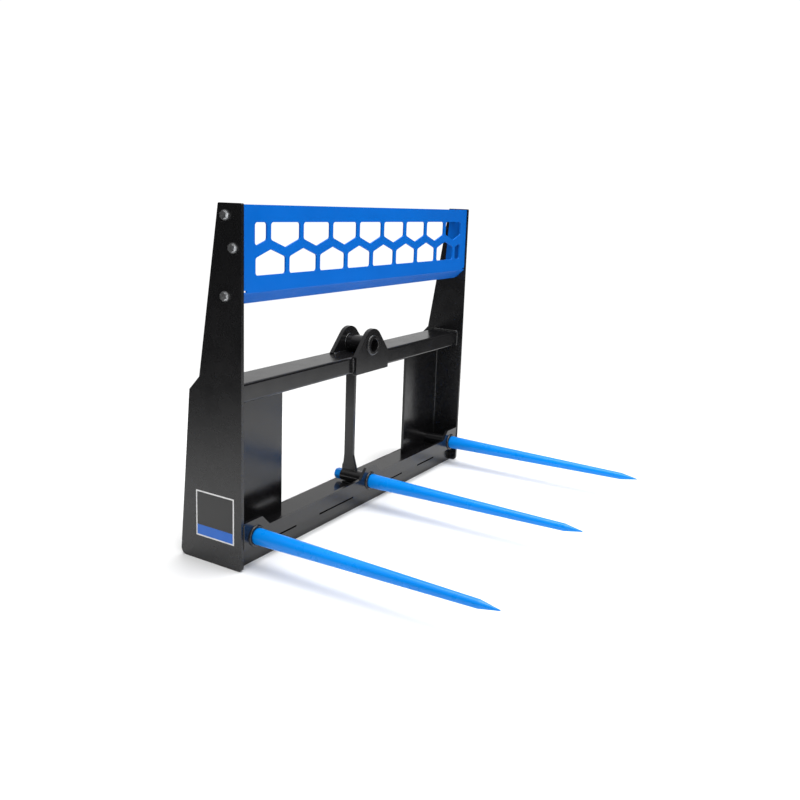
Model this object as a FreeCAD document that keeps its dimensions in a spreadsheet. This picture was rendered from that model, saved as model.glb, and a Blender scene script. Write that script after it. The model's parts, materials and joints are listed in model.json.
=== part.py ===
# Bale spear for a skid-steer quick attach: a welded frame of two side plates, an
# upper cross tube, a folded lower channel and a front plate, carrying three tapered
# spears in weld-in sleeves, an upper socket between two lugs, and a bolted headboard.
# Frame: X across the width, -Y the way the spears point, +Z up. The pieces are drawn
# with Y = 0 at the front edge of the side plates and then set back by origin_back, so
# that the origin is on the ground under the middle of the whole. Millimetres.
import FreeCAD, Part
import Sketcher
import math
import os

os.makedirs("parts", exist_ok=True)
doc = FreeCAD.newDocument("bale_spear")
sheet = doc.addObject("Spreadsheet::Sheet", "Sheet")
V = FreeCAD.Vector
VALUES = {}
ROW = [0]


def dim(alias, value):
    ROW[0] += 1
    sheet.set("A%d" % ROW[0], alias)
    sheet.set("B%d" % ROW[0], repr(float(value)))
    sheet.setAlias("B%d" % ROW[0], alias)
    VALUES[alias] = float(value)


# ---- driving dimensions -------------------------------------------------------
for alias, value in [
    # whole frame
    ("overall_width", 1194.0), ("side_height", 930.0), ("plate_thk", 9.5),
    ("origin_back", 240.05),
    # side plate outline: depths at the named heights
    ("depth_top", 74.5), ("depth_shoulder", 141.0), ("z_shoulder", 495.0),
    ("depth_step", 176.0), ("z_step", 457.0), ("depth_bottom", 213.5),
    ("corner_front_bottom", 12.0), ("corner_back_bottom", 18.0), ("corner_top", 4.0),
    # upper tube, 4 x 2 inch rectangular hollow section
    ("tube_depth", 101.6), ("tube_height", 50.8), ("tube_wall", 6.35),
    ("tube_corner", 6.5), ("tube_front", 17.7), ("tube_top", 488.0),
    # lugs and socket
    ("lug_thk", 12.7), ("lug_half_width", 88.9), ("lug_bottom", 433.5),
    ("lug_round", 50.8), ("socket_height", 514.0), ("socket_outer", 50.8),
    ("socket_bore", 40.0), ("socket_proud", 6.5), ("socket_lead", 1.5),
    ("rear_lug_front", 90.3), ("rear_lug_foot", 4.0), ("socket_proud_back", 3.7),
    ("lug_corner", 2.0),
    # quick-attach panels, hooks and lower channel
    ("panel_thk", 9.5), ("panel_front", 99.0), ("panel_inner_left", 317.0),
    ("panel_inner_right", 365.0), ("hook_thk", 9.5), ("hook_top", 480.0),
    ("hook_tip", 165.0), ("hook_inner", 92.0),
    ("shelf_top", 58.5), ("sheet_thk", 8.0), ("leg_front", 23.4),
    ("shelf_back", 144.0), ("lip_tip_y", 190.0), ("lip_tip_z", 12.5),
    ("bend_out", 11.0), ("slot_low", 36.5),
    ("lock_slot_x", 420.0), ("lock_slot_len", 76.0), ("lock_slot_wide", 30.0),
    # front plate
    ("front_low", 57.0), ("front_high", 98.3), ("bump_high", 128.4),
    ("bump_half_top", 23.5), ("bump_half_base", 53.6),
    # spears, sleeves, nuts
    ("spear_pitch", 539.6), ("spear_height", 82.0), ("sleeve_outer", 47.0),
    ("sleeve_front", 2.5), ("sleeve_back", 106.0),
    ("sleeve_waist", 14.0), ("sleeve_small", 36.0),
    ("spear_length", 692.0), ("spear_base", 44.4), ("spear_neck", 41.0),
    ("spear_shoulder", 22.4), ("point_start", 640.0), ("point_tip", 3.0),
    ("root_end", 26.0), ("thread_dia", 20.0), ("thread_end", 131.0),
    ("nut_flats", 30.0), ("nut_thk", 22.0),
    # centre post
    ("post_front", 66.0), ("post_back", 99.0), ("post_foot_front", 50.0),
    ("post_foot_back", 112.0), ("post_flare_top", 152.0), ("post_flare_mid", 126.0),
    # headboard
    ("board_thk", 4.8), ("board_front", 3.0), ("board_half", 586.9),
    ("board_top", 927.5), ("board_bend", 714.6), ("flange_drop", 28.6),
    ("side_flange_top", 66.0), ("side_flange_deep", 76.0),
    ("side_flange_turn", 764.0), ("side_flange_low", 688.0), ("board_bend_rad", 5.5),
    ("cell_width", 116.0), ("cell_side", 43.0), ("cell_tall", 63.0),
    ("cell_pitch", 131.2), ("top_row_z", 885.6), ("low_row_z", 756.3),
    ("top_row_x", -33.0), ("low_row_x", 40.5), ("cell_limit", 545.0),
    ("cell_round", 8.0), ("mitre_in", 15.6),
    ("notch_long", 13.0), ("notch_low", 717.4), ("notch_high", 722.2), ("notch_deep", 12.0),
    # headboard fasteners, 1/2 inch flange bolts
    ("bolt_y1", 51.9), ("bolt_z1", 901.0), ("bolt_y2", 26.5), ("bolt_z2", 823.5),
    ("bolt_y3", 52.7), ("bolt_z3", 705.9), ("bolt_dia", 12.7), ("bolt_hole", 13.5),
    ("bolt_flange", 26.6), ("bolt_flange_thk", 2.6), ("bolt_flats", 18.0),
    ("bolt_head", 8.6), ("bolt_end", 31.0), ("nut_height", 9.6),
]:
    dim(alias, value)
doc.recompute()


def val(expr):
    """the number that an expression over the sheet's aliases stands for"""
    return float(read_expr(str(expr)))


def read_expr(text):
    """a small arithmetic reader: + - * / ( ), numbers, aliases, sqrt(x)"""
    tokens = []
    i = 0
    while i < len(text):
        c = text[i]
        if c == " ":
            i += 1
        elif c in "+-*/()":
            tokens.append(c)
            i += 1
        else:
            j = i
            while j < len(text) and (text[j].isalnum() or text[j] in "._"):
                j += 1
            word = text[i:j]
            if word == "sqrt":
                tokens.append("sqrt")
            elif word[0].isdigit() or word[0] == ".":
                tokens.append(float(word))
            else:
                tokens.append(VALUES[word.replace("Sheet.", "")])
            i = j
    pos = [0]

    def atom():
        t = tokens[pos[0]]
        pos[0] += 1
        if t == "(":
            v = total()
            pos[0] += 1
            return v
        if t == "-":
            return -atom()
        if t == "sqrt":
            return math.sqrt(atom())
        return t

    def product():
        v = atom()
        while pos[0] < len(tokens) and tokens[pos[0]] in ("*", "/"):
            op = tokens[pos[0]]
            pos[0] += 1
            w = atom()
            v = v * w if op == "*" else v / w
        return v

    def total():
        v = product()
        while pos[0] < len(tokens) and tokens[pos[0]] in ("+", "-"):
            op = tokens[pos[0]]
            pos[0] += 1
            w = product()
            v = v + w if op == "+" else v - w
        return v

    return total()


def link(expr):
    """the same expression as FreeCAD writes it, each alias taken from the sheet"""
    out = ""
    i = 0
    while i < len(expr):
        c = expr[i]
        if c.isalpha():
            j = i
            while j < len(expr) and (expr[j].isalnum() or expr[j] == "_"):
                j += 1
            word = expr[i:j]
            out += word if word == "sqrt" else "Sheet." + word
            i = j
        else:
            out += c
            i += 1
    return out


def plane(body, role):
    return [f for f in body.Origin.OriginFeatures if f.Role == role][0]


def new_body(name):
    body = doc.addObject("PartDesign::Body", name)
    body.Label = name
    return body


Y_OF = {}


def place(obj, x="0", y="0", z="0", rot=None):
    Y_OF[obj.Name] = y
    obj.Placement = FreeCAD.Placement(V(val(x), val(y), val(z)),
                                      rot or FreeCAD.Rotation())
    for axis, e in (("x", x), ("y", y), ("z", z)):
        if any(ch.isalpha() for ch in e):
            obj.setExpression("Placement.Base." + axis, link(e))


def sketch(body, role, loops, circles=(), name="Sketch"):
    """closed polygons whose every corner is held from the origin by two dimensions,
    and circles held by centre and radius, all bound to the sheet"""
    sk = body.newObject("Sketcher::SketchObject", name)
    sk.AttachmentSupport = (plane(body, role), [""])
    sk.MapMode = "FlatFace"
    binds = []
    for loop in loops:
        n = len(loop)
        pts = [V(val(u), val(w), 0) for u, w in loop]
        first = sk.GeometryCount
        for i in range(n):
            sk.addGeometry(Part.LineSegment(pts[i], pts[(i + 1) % n]), False)
        for i in range(n):
            sk.addConstraint(Sketcher.Constraint(
                "Coincident", first + i, 2, first + (i + 1) % n, 1))
        for i, (u, w) in enumerate(loop):
            for kind, e, p in (("DistanceX", u, pts[i].x), ("DistanceY", w, pts[i].y)):
                k = sk.addConstraint(Sketcher.Constraint(
                    kind, -1, 1, first + i, 1, p))
                if any(ch.isalpha() for ch in str(e)):
                    binds.append((k, e))
    for cu, cw, r in circles:
        g = sk.addGeometry(Part.Circle(V(val(cu), val(cw), 0), V(0, 0, 1), val(r)), False)
        S = Sketcher.Constraint
        for k, e in ((sk.addConstraint(S("DistanceX", -1, 1, g, 3, val(cu))), cu),
                     (sk.addConstraint(S("DistanceY", -1, 1, g, 3, val(cw))), cw),
                     (sk.addConstraint(S("Radius", g, val(r))), r)):
            if any(ch.isalpha() for ch in str(e)):
                binds.append((k, e))
    for k, e in binds:
        sk.setExpression("Constraints[%d]" % k, link(e))
    return sk


def pad(body, sk, length, reverse=False, mid=False, name="Pad"):
    f = body.newObject("PartDesign::Pad", name)
    f.Profile = sk
    f.Length = val(length)
    f.Midplane = mid
    f.Reversed = reverse
    if any(ch.isalpha() for ch in length):
        f.setExpression("Length", link(length))
    doc.recompute()
    return f


def pocket(body, sk, name="Pocket"):
    """cuts through everything, both ways from the sketch"""
    before = body.Shape.Volume
    f = body.newObject("PartDesign::Pocket", name)
    f.Profile = sk
    f.Type = 1
    f.Midplane = True
    doc.recompute()
    if body.Shape.Volume >= before - 1e-6:
        raise RuntimeError("pocket %s cut nothing" % name)
    return f


def rounded(body, radius, test, name="Fillet"):
    """a fillet on the edges of the body's tip that the test picks"""
    base = body.Tip
    edges = ["Edge%d" % (i + 1) for i, e in enumerate(base.Shape.Edges) if test(e)]
    if not edges:
        raise RuntimeError("no edge for %s on %s" % (name, body.Label))
    f = body.newObject("PartDesign::Fillet", name)
    f.Base = (base, edges)
    f.Radius = val(radius)
    f.setExpression("Radius", link(radius))
    doc.recompute()
    return f


def at(e, **kw):
    """whether every vertex of an edge lies at the given coordinates"""
    for key, want in kw.items():
        for p in e.Vertexes:
            if abs(getattr(p.Point, key) - want) > 0.05:
                return False
    return True


OUT = []
IN_X = "(overall_width/2-plate_thk)"       # inner face of a side plate

# ---- side plates --------------------------------------------------------------
for side, x0 in (("left", "-overall_width/2"), ("right", "overall_width/2-plate_thk")):
    b = new_body("side_plate_" + side)
    sk = sketch(b, "YZ_Plane", [[
        ("0", "0"), ("depth_bottom", "0"), ("depth_step", "z_step"),
        ("depth_shoulder", "z_shoulder"), ("depth_top", "side_height"),
        ("0", "side_height")]],
        circles=[("bolt_y%d" % k, "bolt_z%d" % k, "bolt_hole/2") for k in (1, 2, 3)])
    pad(b, sk, "plate_thk")
    rounded(b, "corner_front_bottom", lambda e: at(e, y=0, z=0), "FilletA")
    rounded(b, "corner_back_bottom",
            lambda e: at(e, y=VALUES["depth_bottom"], z=0), "FilletB")
    rounded(b, "corner_top", lambda e: len(e.Vertexes) == 2 and
            at(e, z=VALUES["side_height"]) and
            abs(e.Vertexes[0].Point.y - e.Vertexes[1].Point.y) < 0.01, "FilletC")
    place(b, x=x0)
    OUT.append((b, "side_plate_" + side))

# ---- upper tube: rectangular hollow section between the side plates ------------
b = new_body("upper_tube")
yb, zb = "(tube_front+tube_depth)", "(tube_top-tube_height)"
sk = sketch(b, "YZ_Plane", [[("tube_front", zb), (yb, zb), (yb, "tube_top"),
                             ("tube_front", "tube_top")]])
pad(b, sk, "overall_width-2*plate_thk", mid=True)
rounded(b, "tube_corner", lambda e: abs(e.Vertexes[0].Point.x - e.Vertexes[-1].Point.x) > 100)
sk = sketch(b, "YZ_Plane", [[
    ("tube_front+tube_wall", zb + "+tube_wall"), (yb + "-tube_wall", zb + "+tube_wall"),
    (yb + "-tube_wall", "tube_top-tube_wall"), ("tube_front+tube_wall", "tube_top-tube_wall")]],
    name="BoreSketch")
pocket(b, sk)
OUT.append((b, "upper_tube"))

# ---- lugs: one on the front face of the tube, one standing on the tube ----------
R, HW, ZC = VALUES["lug_round"], VALUES["lug_half_width"], VALUES["socket_height"]
for node, y0, foot, neck in (("lug_front", "tube_front-lug_thk", "lug_bottom", "tube_top"),
                             ("lug_rear", "rear_lug_front", "tube_top",
                              "tube_top+rear_lug_foot")):
    b = new_body(node)
    sk = b.newObject("Sketcher::SketchObject", "Sketch")
    sk.AttachmentSupport = (plane(b, "XZ_Plane"), [""])
    sk.MapMode = "FlatFace"
    zs, zf = val(neck), val(foot)
    dx, dz = HW, zs - ZC
    dist = math.hypot(dx, dz)
    ang = math.atan2(dz, dx) + math.acos(R / dist)
    tx, tz = R * math.cos(ang), ZC + R * math.sin(ang)
    A = V(-HW, zf, 0)
    B = V(HW, zf, 0)
    C = V(HW, zs, 0)
    D = V(tx, tz, 0)
    E = V(-tx, tz, 0)
    F = V(-HW, zs, 0)
    sk.addGeometry(Part.LineSegment(A, B), False)
    sk.addGeometry(Part.LineSegment(B, C), False)
    sk.addGeometry(Part.LineSegment(C, D), False)
    sk.addGeometry(Part.ArcOfCircle(Part.Circle(V(0, ZC, 0), V(0, 0, 1), R),
                                    ang, math.pi - ang), False)
    sk.addGeometry(Part.LineSegment(E, F), False)
    sk.addGeometry(Part.LineSegment(F, A), False)
    con = Sketcher.Constraint
    for c in (con("Coincident", 0, 2, 1, 1), con("Coincident", 1, 2, 2, 1),
              con("Tangent", 2, 2, 3, 1), con("Tangent", 3, 2, 4, 1),
              con("Coincident", 4, 2, 5, 1), con("Coincident", 5, 2, 0, 1),
              con("Horizontal", 0), con("Vertical", 1), con("Vertical", 5)):
        sk.addConstraint(c)
    for c, e in ((con("DistanceX", -1, 1, 0, 2, HW), "lug_half_width"),
                 (con("DistanceX", 0, 1, -1, 1, HW), "lug_half_width"),
                 (con("DistanceY", -1, 1, 0, 1, zf), foot),
                 (con("DistanceY", -1, 1, 1, 2, zs), neck),
                 (con("DistanceY", -1, 1, 5, 1, zs), neck),
                 (con("Radius", 3, R), "lug_round"),
                 (con("DistanceY", -1, 1, 3, 3, ZC), "socket_height")):
        k = sk.addConstraint(c)
        sk.setExpression("Constraints[%d]" % k, link(e))
    g = sk.addGeometry(Part.Circle(V(0, ZC, 0), V(0, 0, 1), VALUES["socket_outer"] / 2), False)
    sk.addConstraint(con("Coincident", g, 3, 3, 3))
    k = sk.addConstraint(con("Radius", g, VALUES["socket_outer"] / 2))
    sk.setExpression("Constraints[%d]" % k, "Sheet.socket_outer/2")
    pad(b, sk, "lug_thk", reverse=True)
    if node == "lug_front":
        rounded(b, "lug_corner", lambda e: len(e.Vertexes) == 2 and
                abs(e.Vertexes[0].Point.z - zf) < 0.01 and
                abs(e.Vertexes[1].Point.z - zf) < 0.01 and
                abs(e.Vertexes[0].Point.x - e.Vertexes[1].Point.x) < 0.01)
    place(b, y=y0)
    OUT.append((b, node))


def along_y(name, r, y0, y1, x="0", z="0", r2=None):
    """a Part cylinder (or cone) whose axis runs along +Y from y0 to y1"""
    o = doc.addObject("Part::Cone" if r2 else "Part::Cylinder", name)
    h = "(%s)-(%s)" % (y1, y0)
    if r2:
        o.Radius1, o.Radius2 = val(r), val(r2)
        o.setExpression("Radius1", link(r))
        o.setExpression("Radius2", link(r2))
    else:
        o.Radius = val(r)
        o.setExpression("Radius", link(r))
    o.Height = val(h)
    o.setExpression("Height", link(h))
    place(o, x=x, y=y0, z=z, rot=FreeCAD.Rotation(V(1, 0, 0), -90))
    return o


# ---- upper socket: sleeve through both lugs -------------------------------------
y0 = "tube_front-lug_thk-socket_proud"
y1 = "rear_lug_front+lug_thk+socket_proud_back"
outer = along_y("SocketOuter", "socket_outer/2", y0, y1, z="socket_height")
inner = along_y("SocketInner", "socket_bore/2", y0 + "-1", y1 + "+1", z="socket_height")
lead = along_y("SocketLead", "socket_bore/2+socket_lead", y0, y0 + "+socket_lead",
               z="socket_height", r2="socket_bore/2")
tools = doc.addObject("Part::MultiFuse", "SocketTools")
tools.Shapes = [inner, lead]
cut = doc.addObject("Part::Cut", "upper_socket")
cut.Label = "upper_socket"
cut.Base, cut.Tool = outer, tools
OUT.append((cut, "upper_socket"))

# ---- quick-attach panels, each coped over its outer sleeve ----------------------
for node, xa, xb, xs in (("qa_panel_left", "-" + IN_X, "-panel_inner_left", "-spear_pitch"),
                         ("qa_panel_right", "panel_inner_right", IN_X, "spear_pitch")):
    o = doc.addObject("Part::Box", "Sheet_" + node)
    for prop, e in (("Length", "(%s)-(%s)" % (xb, xa)), ("Width", "panel_thk"),
                    ("Height", "tube_top-tube_height-shelf_top")):
        setattr(o, prop, val(e))
        o.setExpression(prop, link(e))
    place(o, x=xa, y="panel_front", z="shelf_top")
    hole = along_y("SleeveHole_" + node, "sleeve_outer/2", "sleeve_waist", "sleeve_back",
                   x=xs, z="spear_height", r2="sleeve_small/2")
    rest = along_y("NutHole_" + node, "sleeve_small/2", "sleeve_back",
                   "panel_front+panel_thk+1", x=xs, z="spear_height")
    slot = doc.addObject("Part::Box", "SleeveSlot_" + node)
    for prop, e in (("Length", "sleeve_small"), ("Width", "panel_thk+2"),
                    ("Height", "spear_height-shelf_top+1")):
        setattr(slot, prop, val(e))
        slot.setExpression(prop, link(e))
    place(slot, x=xs + "-sleeve_small/2", y="panel_front-1", z="shelf_top-1")
    tool = doc.addObject("Part::MultiFuse", "SleeveCope_" + node)
    tool.Shapes = [hole, rest, slot]
    c = doc.addObject("Part::Cut", node)
    c.Label = node
    c.Base, c.Tool = o, tool
    OUT.append((c, node))

# ---- top hooks: flat bars sloping back and down behind the tube -----------------
d = "(hook_thk*sqrt(2))"
for node, xa in (("top_hook_left", "-" + IN_X), ("top_hook_right", "hook_inner")):
    b = new_body(node)
    tip_z = "(hook_top-(hook_tip-tube_front-tube_depth))"
    sk = sketch(b, "YZ_Plane", [[
        ("tube_front+tube_depth", "hook_top"), ("hook_tip", tip_z),
        ("hook_tip-hook_thk/sqrt(2)", tip_z + "-hook_thk/sqrt(2)"),
        ("tube_front+tube_depth", "hook_top-" + d)]])
    pad(b, sk, IN_X + "-hook_inner")
    place(b, x=xa)
    OUT.append((b, node))

# ---- lower channel: front leg, shelf and sloping rear lip from one folded sheet --
# Tabs of the shelf reach forward to the front plate through slots in the front leg;
# the rear lip slopes down and back and has the two lock-pin slots.
b = new_body("lower_channel")
q = "(sheet_thk*(sqrt(2)-1))"
lipn = "(sheet_thk/sqrt(2))"
sk = sketch(b, "YZ_Plane", [[
    ("leg_front", "0"), ("leg_front", "shelf_top"), ("shelf_back", "shelf_top"),
    ("lip_tip_y", "lip_tip_z"), ("lip_tip_y-" + lipn, "lip_tip_z-" + lipn),
    ("shelf_back-" + q, "shelf_top-sheet_thk"),
    ("leg_front+sheet_thk", "shelf_top-sheet_thk"), ("leg_front+sheet_thk", "0")]])
pad(b, sk, "overall_width-2*plate_thk", mid=True)
rounded(b, "bend_out", lambda e: at(e, y=VALUES["leg_front"], z=VALUES["shelf_top"]), "FrontBend")
rounded(b, "bend_out", lambda e: at(e, y=VALUES["shelf_back"], z=VALUES["shelf_top"]), "RearBend")
W = VALUES["overall_width"]
TABS = [(0.120, 0.213), (0.304, 0.450), (0.558, 0.696), (0.784, 0.882)]
loops = []
for f0, f1 in TABS:
    u0, u1 = "overall_width*%.3f" % (f0 - 0.5), "overall_width*%.3f" % (f1 - 0.5)
    u0, u1 = u0.replace("*-", "*(0-") + (")" if "*-" in u0 else ""), \
        u1.replace("*-", "*(0-") + (")" if "*-" in u1 else "")
    loops.append([(u0, "slot_low"), (u1, "slot_low"), (u1, "shelf_top+1"), (u0, "shelf_top+1")])
sk = sketch(b, "XZ_Plane", loops, name="SlotSketch")
f = b.newObject("PartDesign::Pocket", "LegSlots")
f.Profile = sk
f.Reversed = True
before = b.Shape.Volume
f.Length = VALUES["leg_front"] + VALUES["sheet_thk"]
f.setExpression("Length", "Sheet.leg_front+Sheet.sheet_thk")
doc.recompute()
if b.Shape.Volume >= before - 1:
    f.Reversed = False
    doc.recompute()
assert b.Shape.Volume < before - 1
# the tabs, padded back in at shelf level
loops = []
for f0, f1 in TABS:
    u0, u1 = "overall_width*%.3f" % (f0 - 0.5), "overall_width*%.3f" % (f1 - 0.5)
    u0, u1 = u0.replace("*-", "*(0-") + (")" if "*-" in u0 else ""), \
        u1.replace("*-", "*(0-") + (")" if "*-" in u1 else "")
    loops.append([(u0, "plate_thk"), (u1, "plate_thk"),
                  (u1, "leg_front+sheet_thk"), (u0, "leg_front+sheet_thk")])
sk = sketch(b, "XY_Plane", loops, name="TabSketch")
sk.AttachmentOffset = FreeCAD.Placement(
    V(0, 0, VALUES["shelf_top"] - VALUES["sheet_thk"]), FreeCAD.Rotation())
sk.setExpression("AttachmentOffset.Base.z", "Sheet.shelf_top-Sheet.sheet_thk")
pad(b, sk, "sheet_thk", name="Tabs")
# short relief slots along the rear bend
loops = []
for xc, half in ((-255, 20), (-5, 20), (286, 26), (386, 26), (-386, 26)):
    u0, u1 = "0%+d" % (xc - half), "0%+d" % (xc + half)
    loops.append([(u0, "shelf_back-6"), (u1, "shelf_back-6"),
                  (u1, "shelf_back+3"), (u0, "shelf_back+3")])
sk = sketch(b, "XY_Plane", loops, name="ReliefSketch")
f = b.newObject("PartDesign::Pocket", "Relief")
f.Profile = sk
f.Type = 1
f.Midplane = True
doc.recompute()
# lock-pin slots through the lip
loops = []
for sgn in ("-", ""):
    c = sgn + "lock_slot_x"
    loops.append([(c + "-lock_slot_len/2", "(shelf_back+lip_tip_y)/2-lock_slot_wide/2-2"),
                  (c + "+lock_slot_len/2", "(shelf_back+lip_tip_y)/2-lock_slot_wide/2-2"),
                  (c + "+lock_slot_len/2", "(shelf_back+lip_tip_y)/2+lock_slot_wide/2-2"),
                  (c + "-lock_slot_len/2", "(shelf_back+lip_tip_y)/2+lock_slot_wide/2-2")])
sk = sketch(b, "XY_Plane", loops, name="LockSketch")
pocket(b, sk, "LockSlots")
OUT.append((b, "lower_channel"))

# ---- front plate with a raised boss over each spear ------------------------------
b = new_body("front_plate")
p, ht, hb = "spear_pitch", "bump_half_top", "bump_half_base"
outline = [("-" + IN_X, "front_low"), (IN_X, "front_low"), (IN_X, "bump_high"),
           (p + "-" + ht, "bump_high"), (p + "-" + hb, "front_high"),
           (hb, "front_high"), (ht, "bump_high"), ("-" + ht, "bump_high"),
           ("-" + hb, "front_high"), ("-" + p + "+" + hb, "front_high"),
           ("-" + p + "+" + ht, "bump_high"), ("-" + IN_X, "bump_high")]
sk = sketch(b, "XZ_Plane", [outline],
            circles=[(c, "spear_height", "sleeve_outer/2") for c in ("-" + p, "0", p)])
pad(b, sk, "plate_thk", reverse=True)
OUT.append((b, "front_plate"))

# ---- centre post: flared plate from the tube down to the middle sleeve -----------
b = new_body("centre_post")
low = "(spear_height+sleeve_small/2-4)"
sk = sketch(b, "YZ_Plane", [[
    ("post_foot_front", low), ("sleeve_back", low), ("sleeve_back", "(post_flare_mid-12)"),
    ("(post_back+sleeve_back)/2-1", "post_flare_mid"), ("post_back", "post_flare_top"),
    ("post_back", "tube_top-tube_height"), ("post_front", "tube_top-tube_height"),
    ("post_front", "post_flare_top"), ("(post_front+post_foot_front)/2+1", "post_flare_mid")]])
pad(b, sk, "plate_thk", mid=True)
cope = along_y("PostCope", "sleeve_outer/2", "sleeve_waist", "sleeve_back",
               z="spear_height", r2="sleeve_small/2")
c = doc.addObject("Part::Cut", "centre_post")
c.Label = "centre_post"
b.Label = "centre_post_plate"
c.Base, c.Tool = b, cope
OUT.append((c, "centre_post"))

# ---- spears with their sleeves and nuts -----------------------------------------
for side, xc in (("left", "-spear_pitch"), ("centre", "0"), ("right", "spear_pitch")):
    # sleeve: a collar through the front plate, tapering to the nut, with a tapered bore
    collar = along_y("SleeveCollar_" + side, "sleeve_outer/2", "-sleeve_front", "sleeve_waist",
                     x=xc, z="spear_height")
    taper = along_y("SleeveTaper_" + side, "sleeve_outer/2", "sleeve_waist", "sleeve_back",
                    x=xc, z="spear_height", r2="sleeve_small/2")
    outer = doc.addObject("Part::Fuse", "SleeveOuter_" + side)
    outer.Base, outer.Tool = collar, taper
    bore = along_y("SleeveBore_" + side, "spear_neck/2", "-sleeve_front", "sleeve_back",
                   x=xc, z="spear_height", r2="root_end/2")
    c = doc.addObject("Part::Cut", "spear_sleeve_" + side)
    c.Label = "spear_sleeve_" + side
    c.Base, c.Tool = outer, bore
    OUT.append((c, "spear_sleeve_" + side))
    # spear: revolved about its own axis
    b = new_body("spear_" + side)
    sk = sketch(b, "YZ_Plane", [[
        ("-spear_length", "0"), ("-spear_length", "point_tip/2"),
        ("-point_start", "spear_shoulder/2"), ("-sleeve_front-6", "spear_base/2"),
        ("-sleeve_front", "spear_neck/2"), ("sleeve_back", "root_end/2"),
        ("sleeve_back", "thread_dia/2"), ("thread_end-1.5", "thread_dia/2"),
        ("thread_end", "thread_dia/2-1.5"), ("thread_end", "0")]])
    f = b.newObject("PartDesign::Revolution", "Revolution")
    f.Profile = sk
    f.ReferenceAxis = (sk, ["H_Axis"])
    f.Angle = 360.0
    doc.recompute()
    place(b, x=xc, z="spear_height")
    OUT.append((b, "spear_" + side))
    # nut: hexagon with chamfered corners, bored for the thread
    hexa = doc.addObject("Part::Prism", "NutHex_" + side)
    hexa.Polygon = 6
    hexa.Circumradius = val("nut_flats/sqrt(3)")
    hexa.setExpression("Circumradius", link("nut_flats/sqrt(3)"))
    hexa.Height = val("nut_thk")
    hexa.setExpression("Height", link("nut_thk"))
    place(hexa, x=xc, y="sleeve_back", z="spear_height", rot=FreeCAD.Rotation(V(1, 0, 0), -90))
    cone = along_y("NutCone_" + side, "nut_flats/2+nut_thk+1.5", "sleeve_back",
                   "sleeve_back+nut_thk", x=xc, z="spear_height", r2="nut_flats/2+0.5")
    com = doc.addObject("Part::MultiCommon", "NutBody_" + side)
    com.Shapes = [hexa, cone]
    bore = along_y("NutBore_" + side, "thread_dia/2", "sleeve_back-1", "sleeve_back+nut_thk+1",
                   x=xc, z="spear_height")
    c = doc.addObject("Part::Cut", "spear_nut_" + side)
    c.Label = "spear_nut_" + side
    c.Base, c.Tool = com, bore
    OUT.append((c, "spear_nut_" + side))

# ---- headboard: one folded sheet with side flanges and a bottom flange ------------
b = new_body("headboard")
t2 = "(board_thk/sqrt(2))"
tq = "(board_thk*(sqrt(2)-1))"
sk = sketch(b, "YZ_Plane", [[
    ("board_front", "board_top"), ("board_front", "board_bend"),
    ("board_front+flange_drop", "board_bend-flange_drop"),
    ("board_front+flange_drop+" + t2, "board_bend-flange_drop+" + t2),
    ("board_front+board_thk", "board_bend+" + tq), ("board_front+board_thk", "board_top")]])
pad(b, sk, "2*board_half", mid=True)
rounded(b, "board_bend_rad", lambda e: at(e, y=VALUES["board_front"], z=VALUES["board_bend"]),
        "BendFillet")
# the bottom flange is mitred back at both ends, clear of the side flanges
for sgn in ("", "-"):
    sk = sketch(b, "XZ_Plane", [[
        (sgn + "(board_half+1)", "board_bend+1"), (sgn + "(board_half-0.4)", "board_bend+1"),
        (sgn + "(board_half-0.4-mitre_in)", "board_bend-flange_drop"),
        (sgn + "(board_half-0.4-mitre_in)", "board_bend-flange_drop-3"),
        (sgn + "(board_half+1)", "board_bend-flange_drop-3")]], name="MitreSketch")
    pocket(b, sk, "Mitre")
for sgn in (1, -1):
    sk = sketch(b, "YZ_Plane", [[
        ("board_front", "board_bend+2"), ("board_front", "board_top"),
        ("side_flange_top", "board_top"), ("side_flange_deep", "side_flange_turn"),
        ("side_flange_deep", "side_flange_low"),
        ("board_front+flange_drop", "side_flange_low")]],
        circles=[("bolt_y%d" % k, "bolt_z%d" % k, "bolt_hole/2") for k in (1, 2, 3)],
        name="SideSketch")
    off = "board_half-board_thk" if sgn > 0 else "-board_half"
    # attachment offset is in the sketch's own frame, its z along the plane's normal
    sk.AttachmentOffset = FreeCAD.Placement(V(0, 0, val(off)), FreeCAD.Rotation())
    sk.setExpression("AttachmentOffset.Base.z", link(off))
    pad(b, sk, "board_thk", name="SideFlange")

# a relief notch at each corner where the side flange meets the bottom bend
for sgn in ("", "-"):
    sk = sketch(b, "XZ_Plane", [[
        (sgn + "(board_half+1)", "notch_low"), (sgn + "(board_half-notch_long)", "notch_low"),
        (sgn + "(board_half-notch_long)", "notch_high"), (sgn + "(board_half+1)", "notch_high")]],
        name="NotchSketch")
    before = b.Shape.Volume
    f = b.newObject("PartDesign::Pocket", "Notch")
    f.Profile = sk
    f.Reversed = True
    f.Length = val("notch_deep")
    f.setExpression("Length", "Sheet.notch_deep")
    doc.recompute()
    if b.Shape.Volume >= before - 1:
        f.Reversed = False
        doc.recompute()
    if b.Shape.Volume >= before - 1:
        raise RuntimeError("notch cut nothing")


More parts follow.
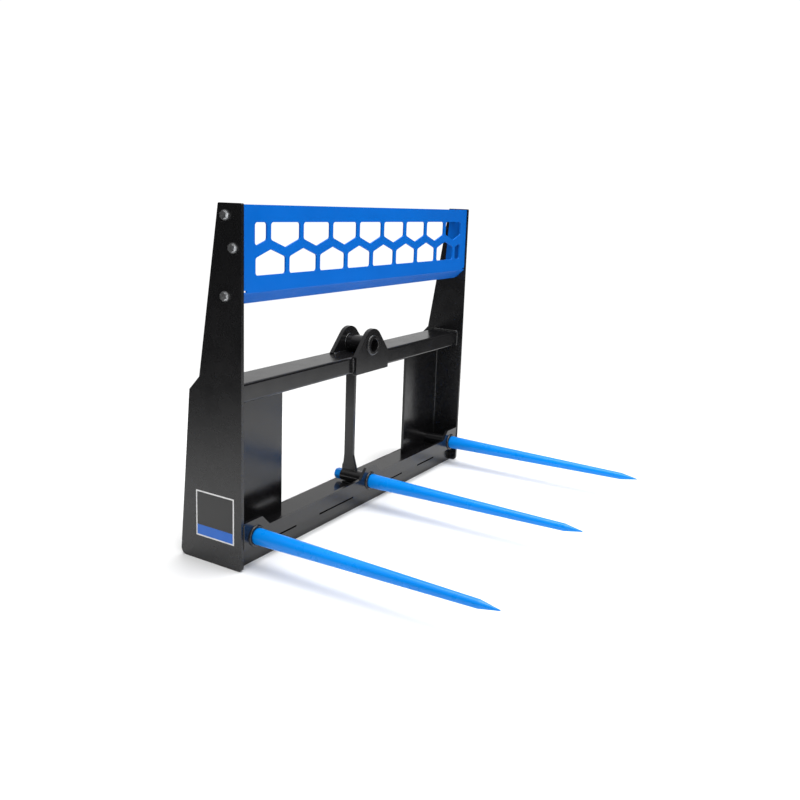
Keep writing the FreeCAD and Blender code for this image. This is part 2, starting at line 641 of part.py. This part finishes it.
def cell(cx, up, lim):
    """a five-sided cell, flat at one end and pointed at the other, cut at +-lim"""
    w = VALUES["cell_width"] / 2
    s, tall = VALUES["cell_side"], VALUES["cell_tall"]
    base = "low_row_z" if up else "top_row_z"
    k = "" if up else "-"
    left, right = max(cx - w, -lim), min(cx + w, lim)
    if right - left < 15:
        return None

    def height(x):
        return s + (tall - s) * (1 - abs(x - cx) / w)
    def f(v):
        return ("%.3f" % v) if v >= 0 else "0-%.3f" % -v
    def zz(h):
        return base + ("+" if up else "-") + "%.3f" % h
    pts = [(f(left), base), (f(right), base), (f(right), zz(height(right)))]
    if left < cx < right:
        pts.append((f(cx), base + ("+cell_tall" if up else "-cell_tall")))
    pts.append((f(left), zz(height(left))))
    return pts


loops = []
for k in range(-6, 7):
    for up, x0, lim in ((False, "top_row_x", "cell_limit"), (True, "low_row_x", "cell_limit")):
        c = cell(VALUES[x0] + k * VALUES["cell_pitch"], up, VALUES[lim])
        if c:
            loops.append(c)
sk = sketch(b, "XZ_Plane", loops, name="CellSketch")
pocket(b, sk, "Cells")
yf, yb_ = VALUES["board_front"], VALUES["board_front"] + VALUES["board_thk"]


def cell_corner(e):
    if len(e.Vertexes) != 2:
        return False
    p, r = e.Vertexes[0].Point, e.Vertexes[1].Point
    return abs(p.x - r.x) < 0.01 and abs(p.z - r.z) < 0.01 and \
        abs(min(p.y, r.y) - yf) < 0.01 and abs(max(p.y, r.y) - yb_) < 0.01 and \
        abs(p.x) < VALUES["cell_limit"] + 1 and 745 < p.z < 895


rounded(b, "cell_round", cell_corner, "CellFillet")
OUT.append((b, "headboard"))

# ---- headboard fasteners: three flange bolts and three flange nuts a side ---------
for side, sgn in (("left", -1), ("right", 1)):
    s = "-" if sgn < 0 else ""
    rot = FreeCAD.Rotation(V(0, 1, 0), 90 * sgn)
    rings_b, rings_n = [], []
    for k in (1, 2, 3):
        yy, zz_ = "bolt_y%d" % k, "bolt_z%d" % k

        def rod(kind, name, size, x_near, h):
            """a cylinder or hexagon whose axis runs outward along X from x_near"""
            o = doc.addObject(kind, "%s_%s%d" % (name, side, k))
            prop = "Circumradius" if kind == "Part::Prism" else "Radius"
            if kind == "Part::Prism":
                o.Polygon = 6
            setattr(o, prop, val(size))
            o.setExpression(prop, link(size))
            o.Height = val(h)
            o.setExpression("Height", link(h))
            place(o, x="%s(%s)" % (s, x_near), y=yy, z=zz_, rot=rot)
            return o

        face = "overall_width/2"
        fl = rod("Part::Cylinder", "BoltFlange", "bolt_flange/2", face, "bolt_flange_thk")
        hx = rod("Part::Prism", "BoltHex", "bolt_flats/sqrt(3)",
                 face + "+bolt_flange_thk", "bolt_head-bolt_flange_thk")
        sh = rod("Part::Cylinder", "BoltShank", "bolt_dia/2", face + "-bolt_end", "bolt_end")
        fu = doc.addObject("Part::MultiFuse", "Bolt_%s%d" % (side, k))
        fu.Shapes = [fl, hx, sh]
        rings_b.append(fu)
        inner = "board_half-board_thk"
        nf = rod("Part::Cylinder", "NutFlange", "bolt_flange/2-1",
                 inner + "-bolt_flange_thk", "bolt_flange_thk")
        nh = rod("Part::Prism", "NutHexB", "bolt_flats/sqrt(3)",
                 inner + "-nut_height", "nut_height-bolt_flange_thk")
        nb = rod("Part::Cylinder", "NutHole", "bolt_dia/2", inner + "-nut_height-1", "nut_height+2")
        nu = doc.addObject("Part::MultiFuse", "NutSolid_%s%d" % (side, k))
        nu.Shapes = [nf, nh]
        nc = doc.addObject("Part::Cut", "Nut_%s%d" % (side, k))
        nc.Base, nc.Tool = nu, nb
        rings_n.append(nc)
    for label, group in (("headboard_bolts_", rings_b), ("headboard_nuts_", rings_n)):
        c = doc.addObject("Part::Compound", label + side)
        c.Label = label + side
        c.Links = group
        OUT.append((c, label + side))

# ---- every sub-part set back so that the origin is under the middle of the whole ---
for obj, node in OUT:
    e = Y_OF.get(obj.Name, "0") + "+origin_back"
    base = obj.Placement.Base
    obj.Placement = FreeCAD.Placement(V(base.x, val(e), base.z), obj.Placement.Rotation)
    obj.setExpression("Placement.Base.y", link(e))
doc.recompute()

# ---- every object must have built, then each sub-part is written ------------------
bad = [o.Name for o in doc.Objects if "Invalid" in o.State or "Error" in o.State]
if bad:
    raise RuntimeError("failed objects: %s" % bad)
for obj, node in OUT:
    s = obj.Shape
    if s.isNull() or not s.isValid():
        raise RuntimeError("bad shape: " + node)
    want = 3 if node.startswith("headboard_bolts") or node.startswith("headboard_nuts") else 1
    if len(s.Solids) != want:
        raise RuntimeError("%s has %d solids" % (node, len(s.Solids)))
for old in os.listdir("parts"):
    if old.endswith(".step") and old[:-5] not in [n for _, n in OUT]:
        os.remove(os.path.join("parts", old))
for obj, node in OUT:
    s = obj.Shape
    s.exportStep("parts/%s.step" % node)
    bb = s.BoundBox
    print("%-24s %8.1f %8.1f | %8.1f %8.1f | %8.1f %8.1f  vol %10.0f" % (
        node, bb.XMin, bb.XMax, bb.YMin, bb.YMax, bb.ZMin, bb.ZMax, s.Volume))
print(len(OUT), "nodes")
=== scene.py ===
import json
import math
import random

import bmesh
import bpy
from mathutils import Matrix, Vector, noise

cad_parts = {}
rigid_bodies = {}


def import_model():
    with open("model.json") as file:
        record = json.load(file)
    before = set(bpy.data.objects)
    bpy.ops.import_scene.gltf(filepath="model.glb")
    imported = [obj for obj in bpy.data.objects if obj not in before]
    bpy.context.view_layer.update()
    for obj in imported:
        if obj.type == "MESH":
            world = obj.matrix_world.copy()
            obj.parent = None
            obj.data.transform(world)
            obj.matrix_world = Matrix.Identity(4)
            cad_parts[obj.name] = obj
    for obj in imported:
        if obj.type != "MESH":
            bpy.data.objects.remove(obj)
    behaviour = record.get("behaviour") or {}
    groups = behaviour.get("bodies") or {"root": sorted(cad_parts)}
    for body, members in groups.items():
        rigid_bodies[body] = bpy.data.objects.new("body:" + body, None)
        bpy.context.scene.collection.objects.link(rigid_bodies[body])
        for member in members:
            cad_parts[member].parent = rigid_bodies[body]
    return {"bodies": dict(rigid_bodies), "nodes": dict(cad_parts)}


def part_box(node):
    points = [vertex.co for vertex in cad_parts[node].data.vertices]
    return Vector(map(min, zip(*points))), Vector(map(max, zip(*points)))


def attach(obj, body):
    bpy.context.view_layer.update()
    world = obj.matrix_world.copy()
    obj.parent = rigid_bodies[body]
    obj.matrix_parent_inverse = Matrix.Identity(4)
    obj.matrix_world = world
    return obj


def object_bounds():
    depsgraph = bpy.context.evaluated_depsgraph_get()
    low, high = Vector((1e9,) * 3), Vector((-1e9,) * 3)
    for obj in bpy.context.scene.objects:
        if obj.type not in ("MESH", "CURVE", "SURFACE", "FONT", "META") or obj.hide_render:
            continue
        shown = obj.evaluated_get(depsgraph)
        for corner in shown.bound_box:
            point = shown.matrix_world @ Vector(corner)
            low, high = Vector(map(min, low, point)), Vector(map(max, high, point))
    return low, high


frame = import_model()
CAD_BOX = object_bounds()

NODES = frame["nodes"]
BODY = list(frame["bodies"])[0]
random.seed(7)


# ------------------------------------------------------------------ node materials
def new_mat(name):
    m = bpy.data.materials.new(name)
    m.use_nodes = True
    nt = m.node_tree
    nt.nodes.clear()
    out = nt.nodes.new("ShaderNodeOutputMaterial")
    sh = nt.nodes.new("ShaderNodeBsdfPrincipled")
    nt.links.new(sh.outputs[0], out.inputs["Surface"])
    return m, nt, sh


def coords(nt):
    """object coordinates, which are metres in the row frame on every piece"""
    tc = nt.nodes.new("ShaderNodeTexCoord")
    return tc.outputs["Object"]


def noise_tex(nt, vec, scale, detail=3.0, rough=0.5, dist=0.0):
    n = nt.nodes.new("ShaderNodeTexNoise")
    n.inputs["Scale"].default_value = scale
    n.inputs["Detail"].default_value = detail
    n.inputs["Roughness"].default_value = rough
    n.inputs["Distortion"].default_value = dist
    nt.links.new(vec, n.inputs["Vector"])
    return n.outputs["Fac"]


def ramp(nt, fac, stops):
    r = nt.nodes.new("ShaderNodeValToRGB")
    el = r.color_ramp.elements
    while len(el) > 1:
        el.remove(el[-1])
    el[0].position = stops[0][0]
    el[0].color = (*stops[0][1], 1) if len(stops[0][1]) == 3 else stops[0][1]
    for p, c in stops[1:]:
        e = el.new(p)
        e.color = (*c, 1) if len(c) == 3 else c
    nt.links.new(fac, r.inputs["Fac"])
    return r.outputs["Color"]


def ranged(nt, fac, lo, hi, a=0.0, b=1.0):
    r = nt.nodes.new("ShaderNodeMapRange")
    r.inputs["From Min"].default_value = a
    r.inputs["From Max"].default_value = b
    r.inputs["To Min"].default_value = lo
    r.inputs["To Max"].default_value = hi
    nt.links.new(fac, r.inputs["Value"])
    return r.outputs["Result"]


def bump(nt, height, strength, distance, prev=None):
    b = nt.nodes.new("ShaderNodeBump")
    b.inputs["Strength"].default_value = strength
    b.inputs["Distance"].default_value = distance
    nt.links.new(height, b.inputs["Height"])
    if prev is not None:
        nt.links.new(prev, b.inputs["Normal"])
    return b.outputs["Normal"]


def powder_coat(name, dark, light, rough=(0.2, 0.3), peel=0.35, peel_scale=420.0,
                coat=0.0, coat_rough=0.1, ior=1.5, wave=0.12, spec=0.5):
    """powder coat: orange peel at about 2 mm, a slow change of tone and of gloss"""
    m, nt, sh = new_mat(name)
    v = coords(nt)
    slow = noise_tex(nt, v, 5.0, 2.0)
    col = ramp(nt, slow, [(0.3, dark), (0.7, light)])
    nt.links.new(col, sh.inputs["Base Color"])
    smudge = noise_tex(nt, v, 22.0, 4.0, 0.6)
    nt.links.new(ranged(nt, smudge, rough[0], rough[1], 0.3, 0.7), sh.inputs["Roughness"])
    peel_h = noise_tex(nt, v, peel_scale, 2.0, 0.45)
    n1 = bump(nt, peel_h, peel, 0.00012)
    slow_h = noise_tex(nt, v, 14.0, 1.0)
    n2 = bump(nt, slow_h, wave, 0.0012, n1)
    nt.links.new(n2, sh.inputs["Normal"])
    sh.inputs["IOR"].default_value = ior
    sh.inputs["Specular IOR Level"].default_value = spec
    sh.inputs["Coat Weight"].default_value = coat
    sh.inputs["Coat Roughness"].default_value = coat_rough
    return m


BLACK = powder_coat("black_powder_coat", (0.0045, 0.0045, 0.005), (0.0075, 0.0072, 0.008),
                    rough=(0.16, 0.24), peel=0.30)
BLACK_SOFT = powder_coat("black_powder_coat_plate", (0.005, 0.005, 0.0055),
                         (0.008, 0.0078, 0.0085), rough=(0.22, 0.32), peel=0.30)
WELD = powder_coat("black_weld", (0.006, 0.006, 0.006), (0.011, 0.011, 0.0115),
                   rough=(0.10, 0.22), peel=0.5, peel_scale=260.0)
HEAD_BLUE = powder_coat("headboard_blue", (0.0, 0.118, 0.52), (0.0, 0.132, 0.57),
                        rough=(0.36, 0.46), peel=0.25, peel_scale=520.0, spec=0.18)
SPEAR_BLUE = powder_coat("spear_blue", (0.0, 0.205, 0.70), (0.0, 0.235, 0.77),
                         rough=(0.24, 0.36), peel=0.35, peel_scale=300.0, wave=0.35, spec=0.3)
NUT_BLUE = powder_coat("nut_blue", (0.0, 0.17, 0.60), (0.0, 0.21, 0.70),
                       rough=(0.25, 0.35), peel=0.3, spec=0.3)


def zinc():
    m, nt, sh = new_mat("zinc_plate")
    v = coords(nt)
    patch = noise_tex(nt, v, 160.0, 4.0, 0.6)
    col = ramp(nt, patch, [(0.3, (0.50, 0.51, 0.52)), (0.6, (0.74, 0.75, 0.76)),
                           (0.8, (0.80, 0.79, 0.74))])
    nt.links.new(col, sh.inputs["Base Color"])
    sh.inputs["Metallic"].default_value = 1.0
    fine = noise_tex(nt, v, 900.0, 3.0, 0.6)
    nt.links.new(ranged(nt, fine, 0.22, 0.42, 0.3, 0.7), sh.inputs["Roughness"])
    nt.links.new(bump(nt, fine, 0.25, 0.00008), sh.inputs["Normal"])
    return m


ZINC = zinc()


def set_mat(obj, mat):
    if not obj.material_slots:
        obj.data.materials.append(mat)
    for s in obj.material_slots:
        s.material = mat


for n, o in NODES.items():
    if n.startswith("spear_sleeve"):
        set_mat(o, BLACK)
    elif n.startswith("spear_nut"):
        set_mat(o, NUT_BLUE)
    elif n.startswith("spear_"):
        set_mat(o, SPEAR_BLUE)
    elif n == "headboard":
        set_mat(o, HEAD_BLUE)
    elif n.startswith("headboard_"):
        set_mat(o, ZINC)
    elif n.startswith("side_plate"):
        set_mat(o, BLACK_SOFT)
    else:
        set_mat(o, BLACK)


# ------------------------------------------------------------------ positions
def lo(n):
    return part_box(n)[0]


def hi(n):
    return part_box(n)[1]


XI = hi("side_plate_left").x                     # inner face of the left plate, negative
XR = lo("side_plate_right").x
Y0 = lo("side_plate_left").y                     # front edge of the side plates
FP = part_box("front_plate")
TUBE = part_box("upper_tube")
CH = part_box("lower_channel")
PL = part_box("qa_panel_left")
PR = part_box("qa_panel_right")
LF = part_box("lug_front")
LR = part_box("lug_rear")
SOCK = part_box("upper_socket")
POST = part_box("centre_post")
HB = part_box("headboard")
SPEARS = {}
for s in ("left", "centre", "right"):
    a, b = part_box("spear_sleeve_" + s)
    SPEARS[s] = ((a.x + b.x) / 2, a.y, b.y, (a.z + b.z) / 2, (b.x - a.x) / 2)


# ------------------------------------------------------------------ weld beads
def mesh_piece(name, verts, faces, mat, slot, smooth=True):
    me = bpy.data.meshes.new(name)
    me.from_pydata([tuple(v) for v in verts], [], faces)
    me.validate()
    if smooth:
        me.shade_smooth()
    ob = bpy.data.objects.new(name, me)
    bpy.context.scene.collection.objects.link(ob)
    me.materials.append(mat)
    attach(ob, BODY)
    return ob


def resample(pts, step, closed):
    pts = [Vector(p) for p in pts]
    if closed:
        pts = pts + [pts[0]]
    out = [pts[0].copy()]
    left = step
    for a, b in zip(pts, pts[1:]):
        d = (b - a).length
        if d < 1e-9:
            continue
        t = left
        while t <= d:
            out.append(a.lerp(b, t / d))
            t += step
        left = t - d
    if closed:
        if (out[-1] - out[0]).length < step * 0.6:
            out.pop()
    elif (out[-1] - pts[-1]).length > step * 0.2:
        out.append(pts[-1].copy())
    return out


def bead(buf, pts, up, r, closed=False, step=0.0011, pitch=0.0046, seed=0.0, flat=0.8,
         sides=7, run=1.0):
    """a weld bead: a swept round whose skin steps in crescents like laid dimes.
    up(p) is the direction in which the bead stands proud at p"""
    P = resample(pts, step, closed)
    n = len(P)
    if n < 3:
        return
    verts, faces = buf
    base = len(verts)
    s = 0.0
    for i, p in enumerate(P):
        a = P[(i - 1) % n] if closed or i else p
        b = P[(i + 1) % n] if closed or i < n - 1 else p
        t = (b - a).normalized()
        u = up(p)
        u = (u - t * u.dot(t)).normalized()
        w = t.cross(u)
        if i:
            s += (p - P[i - 1]).length
        wide = 1.0 + 0.13 * noise.noise(Vector((s * 90.0, seed, 1.3))) + \
            0.07 * noise.noise(Vector((s * 330.0, seed, 7.7)))
        end = 1.0
        if not closed:
            e = min(s, (len(P) - 1) * step - s)
            end = math.sqrt(max(0.02, min(1.0, e / (r * 1.2))))
        side = 0.10 * r * noise.noise(Vector((s * 60.0, seed, 4.1)))
        for k in range(sides):
            th = 2 * math.pi * k / sides
            c, d = math.cos(th), math.sin(th)
            ph = (s / pitch + 0.35 * (1 - abs(c)) * run) % 1.0
            rip = 1.0 + 0.16 * (0.5 - ph) * (0.4 + 0.6 * max(0.0, c))
            rr = r * wide * end
            verts.append(p + u * (c * rr * flat * rip) + w * (d * rr * (0.95 + 0.05 * rip) + side))
    m = n if closed else n - 1
    for i in range(m):
        j = (i + 1) % n
        for k in range(sides):
            l = (k + 1) % sides
            faces.append((base + i * sides + k, base + i * sides + l,
                          base + j * sides + l, base + j * sides + k))
    if not closed:
        faces.append(tuple(base + k for k in range(sides))[::-1])
        faces.append(tuple(base + (n - 1) * sides + k for k in range(sides)))


def const(v):
    v = Vector(v).normalized()
    return lambda p: v


def ring(cx, cz, r, y, n=96, a0=0.0, a1=2 * math.pi):
    return [(cx + r * math.cos(a0 + (a1 - a0) * i / n), y, cz + r * math.sin(a0 + (a1 - a0) * i / n))
            for i in range(n if abs(a1 - a0) > 6.28 else n + 1)]


def out_from(cx, cz, y_dir):
    """proud outwards from an axis along Y and forward or back"""
    def f(p):
        d = Vector((p.x - cx, 0, p.z - cz)).normalized()
        return (d * 0.55 + Vector((0, y_dir, 0))).normalized()
    return f


# spears: one ring round each sleeve where it comes through the front plate
buf = ([], [])
for i, (s, (sx, y0, y1, sz, sr)) in enumerate(SPEARS.items()):
    bead(buf, ring(sx, sz, sr + 0.0012, FP[0].y - 0.0006, 90), out_from(sx, sz, -1), 0.0046,
         closed=True, seed=3.1 * i, pitch=0.0062, flat=0.85)
mesh_piece("welds_spear_front", *buf, WELD, "frame_black")

# spears: ring behind the front plate, and runs along both sides of each sleeve on the shelf
buf = ([], [])
for i, (s, (sx, y0, y1, sz, sr)) in enumerate(SPEARS.items()):
    bead(buf, ring(sx, sz, sr + 0.0008, FP[1].y + 0.0006, 90), out_from(sx, sz, 1), 0.0034,
         closed=True, seed=5.1 * i, pitch=0.0058)
    # along both sides of the sleeve on the shelf
    z = CH[1].z
    for sg in (-1, 1):
        bead(buf, [(sx + sg * sr * 0.45, FP[1].y + 0.016, z + 0.001),
                   (sx + sg * sr * 0.40, y1 - 0.004, z + 0.0028)],
             const((sg * 0.6, 0, 1)), 0.0042, seed=9.1 * i + sg, pitch=0.005)
mesh_piece("welds_spear_rear", *buf, WELD, "frame_black")

# upper socket: rings on both outer lug faces and between the lugs
buf = ([], [])
scx, scz, sr = 0.0, (SOCK[0].z + SOCK[1].z) / 2, (SOCK[1].x - SOCK[0].x) / 2
for i, (y, d, r) in enumerate(((LF[0].y, -1, 0.0062), (LR[1].y, 1, 0.0040),
                               (LF[1].y, 1, 0.003), (LR[0].y, -1, 0.003))):
    bead(buf, ring(scx, scz, sr + 0.0014, y + d * 0.0004, 96), out_from(scx, scz, d), r,
         closed=True, seed=17.0 + i, pitch=0.0062 if r > 0.004 else 0.005)
mesh_piece("welds_socket", *buf, WELD, "frame_black")

# lugs: vertical runs at the front lug's ends and long runs along the tube's top
buf = ([], [])
for sg in (-1, 1):
    x = sg * LF[1].x
    bead(buf, [(x + sg * 0.0004, TUBE[0].y - 0.0015, TUBE[0].z + 0.004),
               (x + sg * 0.0004, TUBE[0].y - 0.0015, TUBE[1].z - 0.004)],
         const((sg, -0.7, 0)), 0.0056, seed=22 + sg, pitch=0.0058, flat=0.9)
    # the rear lug stands on the tube, with a run along each side of its foot
    y = LR[0].y if sg < 0 else LR[1].y
    bead(buf, [(-LR[1].x + 0.003, y + sg * 0.0003, TUBE[1].z + 0.0002),
               (LR[1].x - 0.003, y + sg * 0.0003, TUBE[1].z + 0.0002)],
         const((0, sg, 1)), 0.0045, seed=24 + sg, pitch=0.0054)
bead(buf, [(-LF[1].x + 0.004, TUBE[0].y + 0.003, TUBE[1].z - 0.0008),
           (LF[1].x - 0.004, TUBE[0].y + 0.003, TUBE[1].z - 0.0008)],
     const((0, 0.5, 1)), 0.0042, seed=28, pitch=0.0052)
mesh_piece("welds_lugs", *buf, WELD, "frame_black")


def rect_path(y0, y1, z0, z1, x, r):
    """a rounded rectangle in the plane X = x, as a closed path"""
    pts = []
    for cy, cz, a in ((y1 - r, z1 - r, 0), (y0 + r, z1 - r, 90), (y0 + r, z0 + r, 180),
                      (y1 - r, z0 + r, 270)):
        for k in range(7):
            t = math.radians(a + 15 * k)
            pts.append((x, cy + r * math.cos(t), cz + r * math.sin(t)))
    return pts


# tube to side plates, all round
buf = ([], [])
for i, (x, d) in enumerate(((XI, 1), (XR, -1))):
    cy, cz = (TUBE[0].y + TUBE[1].y) / 2, (TUBE[0].z + TUBE[1].z) / 2

    def proud(p, d=d, cy=cy, cz=cz):
        q = Vector((0, (p.y - cy) / 2.0, p.z - cz))
        return (q.normalized() + Vector((d, 0, 0))).normalized()
    bead(buf, rect_path(TUBE[0].y, TUBE[1].y, TUBE[0].z, TUBE[1].z, x + d * 0.0006, 0.0065),
         proud, 0.0052, closed=True, seed=33 + i, pitch=0.0056)
mesh_piece("welds_tube_ends", *buf, WELD, "frame_black")

# panels: to the side plate front and back, and along the top front edge to the tube
buf = ([], [])
for i, (P, x, d) in enumerate(((PL, XI, 1), (PR, XR, -1))):
    for y, e in ((P[0].y, -1), (P[1].y, 1)):
        bead(buf, [(x + d * 0.0004, y + e * 0.0004, P[0].z + 0.03),
                   (x + d * 0.0004, y + e * 0.0004, P[1].z - 0.006)],
             const((d, e, 0)), 0.0036, seed=41 + i + e, pitch=0.005)
    bead(buf, [(P[0].x + 0.006, P[0].y - 0.0004, P[1].z - 0.0002),
               (P[1].x - 0.006, P[0].y - 0.0004, P[1].z - 0.0002)],
         const((0, -1, -1)), 0.003, seed=45 + i, pitch=0.005)
mesh_piece("welds_panels", *buf, WELD, "frame_black")

# front plate and channel to the side plates; centre post at head and foot
buf = ([], [])
for i, (x, d) in enumerate(((XI, 1), (XR, -1))):
    bead(buf, [(x + d * 0.0004, FP[0].y - 0.0002, FP[0].z + 0.002),
               (x + d * 0.0004, FP[0].y - 0.0002, FP[1].z - 0.002)],
         const((d * 0.5, -1, 0)), 0.0028, seed=51 + i, pitch=0.005)
    bead(buf, [(x + d * 0.0004, FP[1].y + 0.014, CH[1].z - 0.0002),
               (x + d * 0.0004, PL[0].y - 0.004, CH[1].z - 0.0002)],
         const((d, 0, 1)), 0.0036, seed=55 + i, pitch=0.005)
px = POST[1].x
sx, y0, y1, sz, sr = SPEARS["centre"]
for d in (-1, 1):
    bead(buf, [(d * px + d * 0.0004, Y0 + 0.067, TUBE[0].z - 0.0002),
               (d * px + d * 0.0004, Y0 + 0.098, TUBE[0].z - 0.0002)],
         const((d, 0, -1)), 0.0034, seed=61 + d, pitch=0.005)
    run = []
    for y in (POST[0].y + 0.002, POST[1].y - 0.002):
        r = sr - (sr - 0.018) * (y - Y0 - 0.014) / 0.092
        run.append((d * px + d * 0.0006, y, sz + math.sqrt(r ** 2 - px ** 2)))
    bead(buf, run, const((d, 0, 0.8)), 0.0038, seed=65 + d, pitch=0.0052)
mesh_piece("welds_frame", *buf, WELD, "frame_black")


# ------------------------------------------------------------------ a blank badge
def flat_paint(name, col, rough):
    m, nt, sh = new_mat(name)
    v = coords(nt)
    n = noise_tex(nt, v, 30.0, 3.0)
    nt.links.new(ramp(nt, n, [(0.3, tuple(k * 0.94 for k in col)), (0.7, col)]),
                 sh.inputs["Base Color"])
    sh.inputs["Roughness"].default_value = rough
    return m


def slab(x0, x1, y0, y1, z0, z1):
    v = [(x, y, z) for x in (x0, x1) for y in (y0, y1) for z in (z0, z1)]
    return v, [(0, 1, 3, 2), (4, 6, 7, 5), (0, 4, 5, 1), (2, 3, 7, 6), (0, 2, 6, 4), (1, 5, 7, 3)]


XO = lo("side_plate_left").x
for nm, t0, t1, ya, yb, za, zb, col in (
        ("badge_border", 0.0, 0.0002, 0.025, 0.156, 0.067, 0.192, (0.75, 0.75, 0.75)),
        ("badge_ground", 0.0002, 0.0004, 0.029, 0.152, 0.071, 0.188, (0.012, 0.012, 0.012)),
        ("badge_band", 0.0004, 0.0006, 0.029, 0.152, 0.071, 0.098, (0.0, 0.12, 0.55))):
    v, f = slab(XO - t1, XO - t0, Y0 + ya, Y0 + yb, za, zb)
    mesh_piece(nm, v, f, flat_paint(nm + "_paint", col, 0.35), "frame_black", smooth=False)


# ------------------------------------------------------------------ stage, light, camera
def stage_mat(name, col, rough):
    m, nt, sh = new_mat(name)
    v = coords(nt)
    n = noise_tex(nt, v, 3.0, 2.0)
    c = ramp(nt, n, [(0.3, tuple(k * 0.99 for k in col)), (0.7, col)])
    nt.links.new(c, sh.inputs["Base Color"])
    sh.inputs["Roughness"].default_value = rough
    sh.inputs["Specular IOR Level"].default_value = 0.1
    # the floor thins out to nothing away from the object
    tc = nt.nodes.new("ShaderNodeTexCoord")
    ln = nt.nodes.new("ShaderNodeVectorMath")
    ln.operation = "LENGTH"
    nt.links.new(tc.outputs["Object"], ln.inputs[0])
    mr = nt.nodes.new("ShaderNodeMapRange")
    mr.inputs["From Min"].default_value = 1.4
    mr.inputs["From Max"].default_value = 2.6
    mr.inputs["To Min"].default_value = 1.0
    mr.inputs["To Max"].default_value = 0.0
    nt.links.new(ln.outputs["Value"], mr.inputs["Value"])
    nt.links.new(mr.outputs[0], sh.inputs["Alpha"])
    return m


bm = bmesh.new()
bmesh.ops.create_grid(bm, x_segments=2, y_segments=2, size=9.0)
me = bpy.data.meshes.new("floor")
bm.to_mesh(me)
bm.free()
floor = bpy.data.objects.new("floor", me)
bpy.context.scene.collection.objects.link(floor)
floor.location = (0, 0, CAD_BOX[0].z)
me.materials.append(stage_mat("pale_floor", (0.88, 0.88, 0.88), 0.7))

world = bpy.data.worlds.new("studio")
bpy.context.scene.world = world
world.use_nodes = True
wt = world.node_tree
wt.nodes.clear()
wo = wt.nodes.new("ShaderNodeOutputWorld")


def world_node(kind, **kw):
    n = wt.nodes.new(kind)
    for k, v in kw.items():
        setattr(n, k, v)
    return n


geo = world_node("ShaderNodeTexCoord")


def lobe(direction, start, stop, level):
    """brightness that rises to level as the ray turns to a direction"""
    d = world_node("ShaderNodeVectorMath", operation="DOT_PRODUCT")
    d.inputs[1].default_value = Vector(direction).normalized()
    wt.links.new(geo.outputs["Generated"], d.inputs[0])
    r = world_node("ShaderNodeMapRange", interpolation_type="SMOOTHSTEP")
    r.inputs["From Min"].default_value = start
    r.inputs["From Max"].default_value = stop
    r.inputs["To Min"].default_value = 0.0
    r.inputs["To Max"].default_value = level
    wt.links.new(d.outputs["Value"], r.inputs["Value"])
    return r.outputs[0]


total = lobe((0.84, 0.5, 0.19), 0.62, 0.96, 0.62)
for part in (lobe((0, 0, 1), 0.40, 0.95, 0.70), lobe((-0.6, -0.75, 0.3), 0.55, 1.0, 0.45)):
    add = world_node("ShaderNodeMath", operation="ADD")
    wt.links.new(total, add.inputs[0])
    wt.links.new(part, add.inputs[1])
    total = add.outputs[0]
base = world_node("ShaderNodeMath", operation="ADD")
base.inputs[1].default_value = 0.06
wt.links.new(total, base.inputs[0])
soft = world_node("ShaderNodeBackground")
soft.inputs["Color"].default_value = (1, 1, 1, 1)
wt.links.new(base.outputs[0], soft.inputs["Strength"])
white = world_node("ShaderNodeBackground")
white.inputs["Color"].default_value = (1, 1, 1, 1)
white.inputs["Strength"].default_value = 1.05
path = world_node("ShaderNodeLightPath")
mix = world_node("ShaderNodeMixShader")
wt.links.new(path.outputs["Is Camera Ray"], mix.inputs[0])
wt.links.new(soft.outputs[0], mix.inputs[1])
wt.links.new(white.outputs[0], mix.inputs[2])
wt.links.new(mix.outputs[0], wo.inputs["Surface"])


def area(name, loc, target, size, power, size_y=None):
    l = bpy.data.lights.new(name, "AREA")
    l.energy = power
    l.shape = "RECTANGLE" if size_y else "SQUARE"
    l.size = size
    if size_y:
        l.size_y = size_y
    o = bpy.data.objects.new(name, l)
    bpy.context.scene.collection.objects.link(o)
    o.location = loc
    o.rotation_euler = (Vector(target) - Vector(loc)).to_track_quat("-Z", "Y").to_euler()
    return o


area("overhead", (0.2, -0.3, 3.6), (0, 0, 0.4), 3.0, 180.0)
area("key", (-3.0, -3.2, 2.0), (0, 0, 0.4), 2.0, 62.0)

cam_data = bpy.data.cameras.new("camera")
cam = bpy.data.objects.new("camera", cam_data)
bpy.context.scene.collection.objects.link(cam)
bpy.context.scene.camera = cam
cam_data.sensor_fit = "HORIZONTAL"
cam_data.sensor_width = 36.0
cam_data.lens = 36.994
cam_data.shift_x = 0.0012
cam_data.shift_y = -0.0489
cam_data.clip_start = 0.05
cam_data.clip_end = 60.0
az, el, roll = math.radians(-59.122), math.radians(10.888), math.radians(2.094)
back = Vector((math.sin(az) * math.cos(el), -math.cos(az) * math.cos(el), math.sin(el)))
right0 = (-back).cross(Vector((0, 0, 1))).normalized()
up0 = right0.cross(-back).normalized()
right = right0 * math.cos(roll) + up0 * math.sin(roll)
up = up0 * math.cos(roll) - right0 * math.sin(roll)
rot = Matrix((right, up, back)).transposed()
cam.matrix_world = Matrix.Translation((-2.0824, -1.3346 + Y0, 0.9444)) @ rot.to_4x4()

bpy.context.scene.view_settings.view_transform = "Standard"
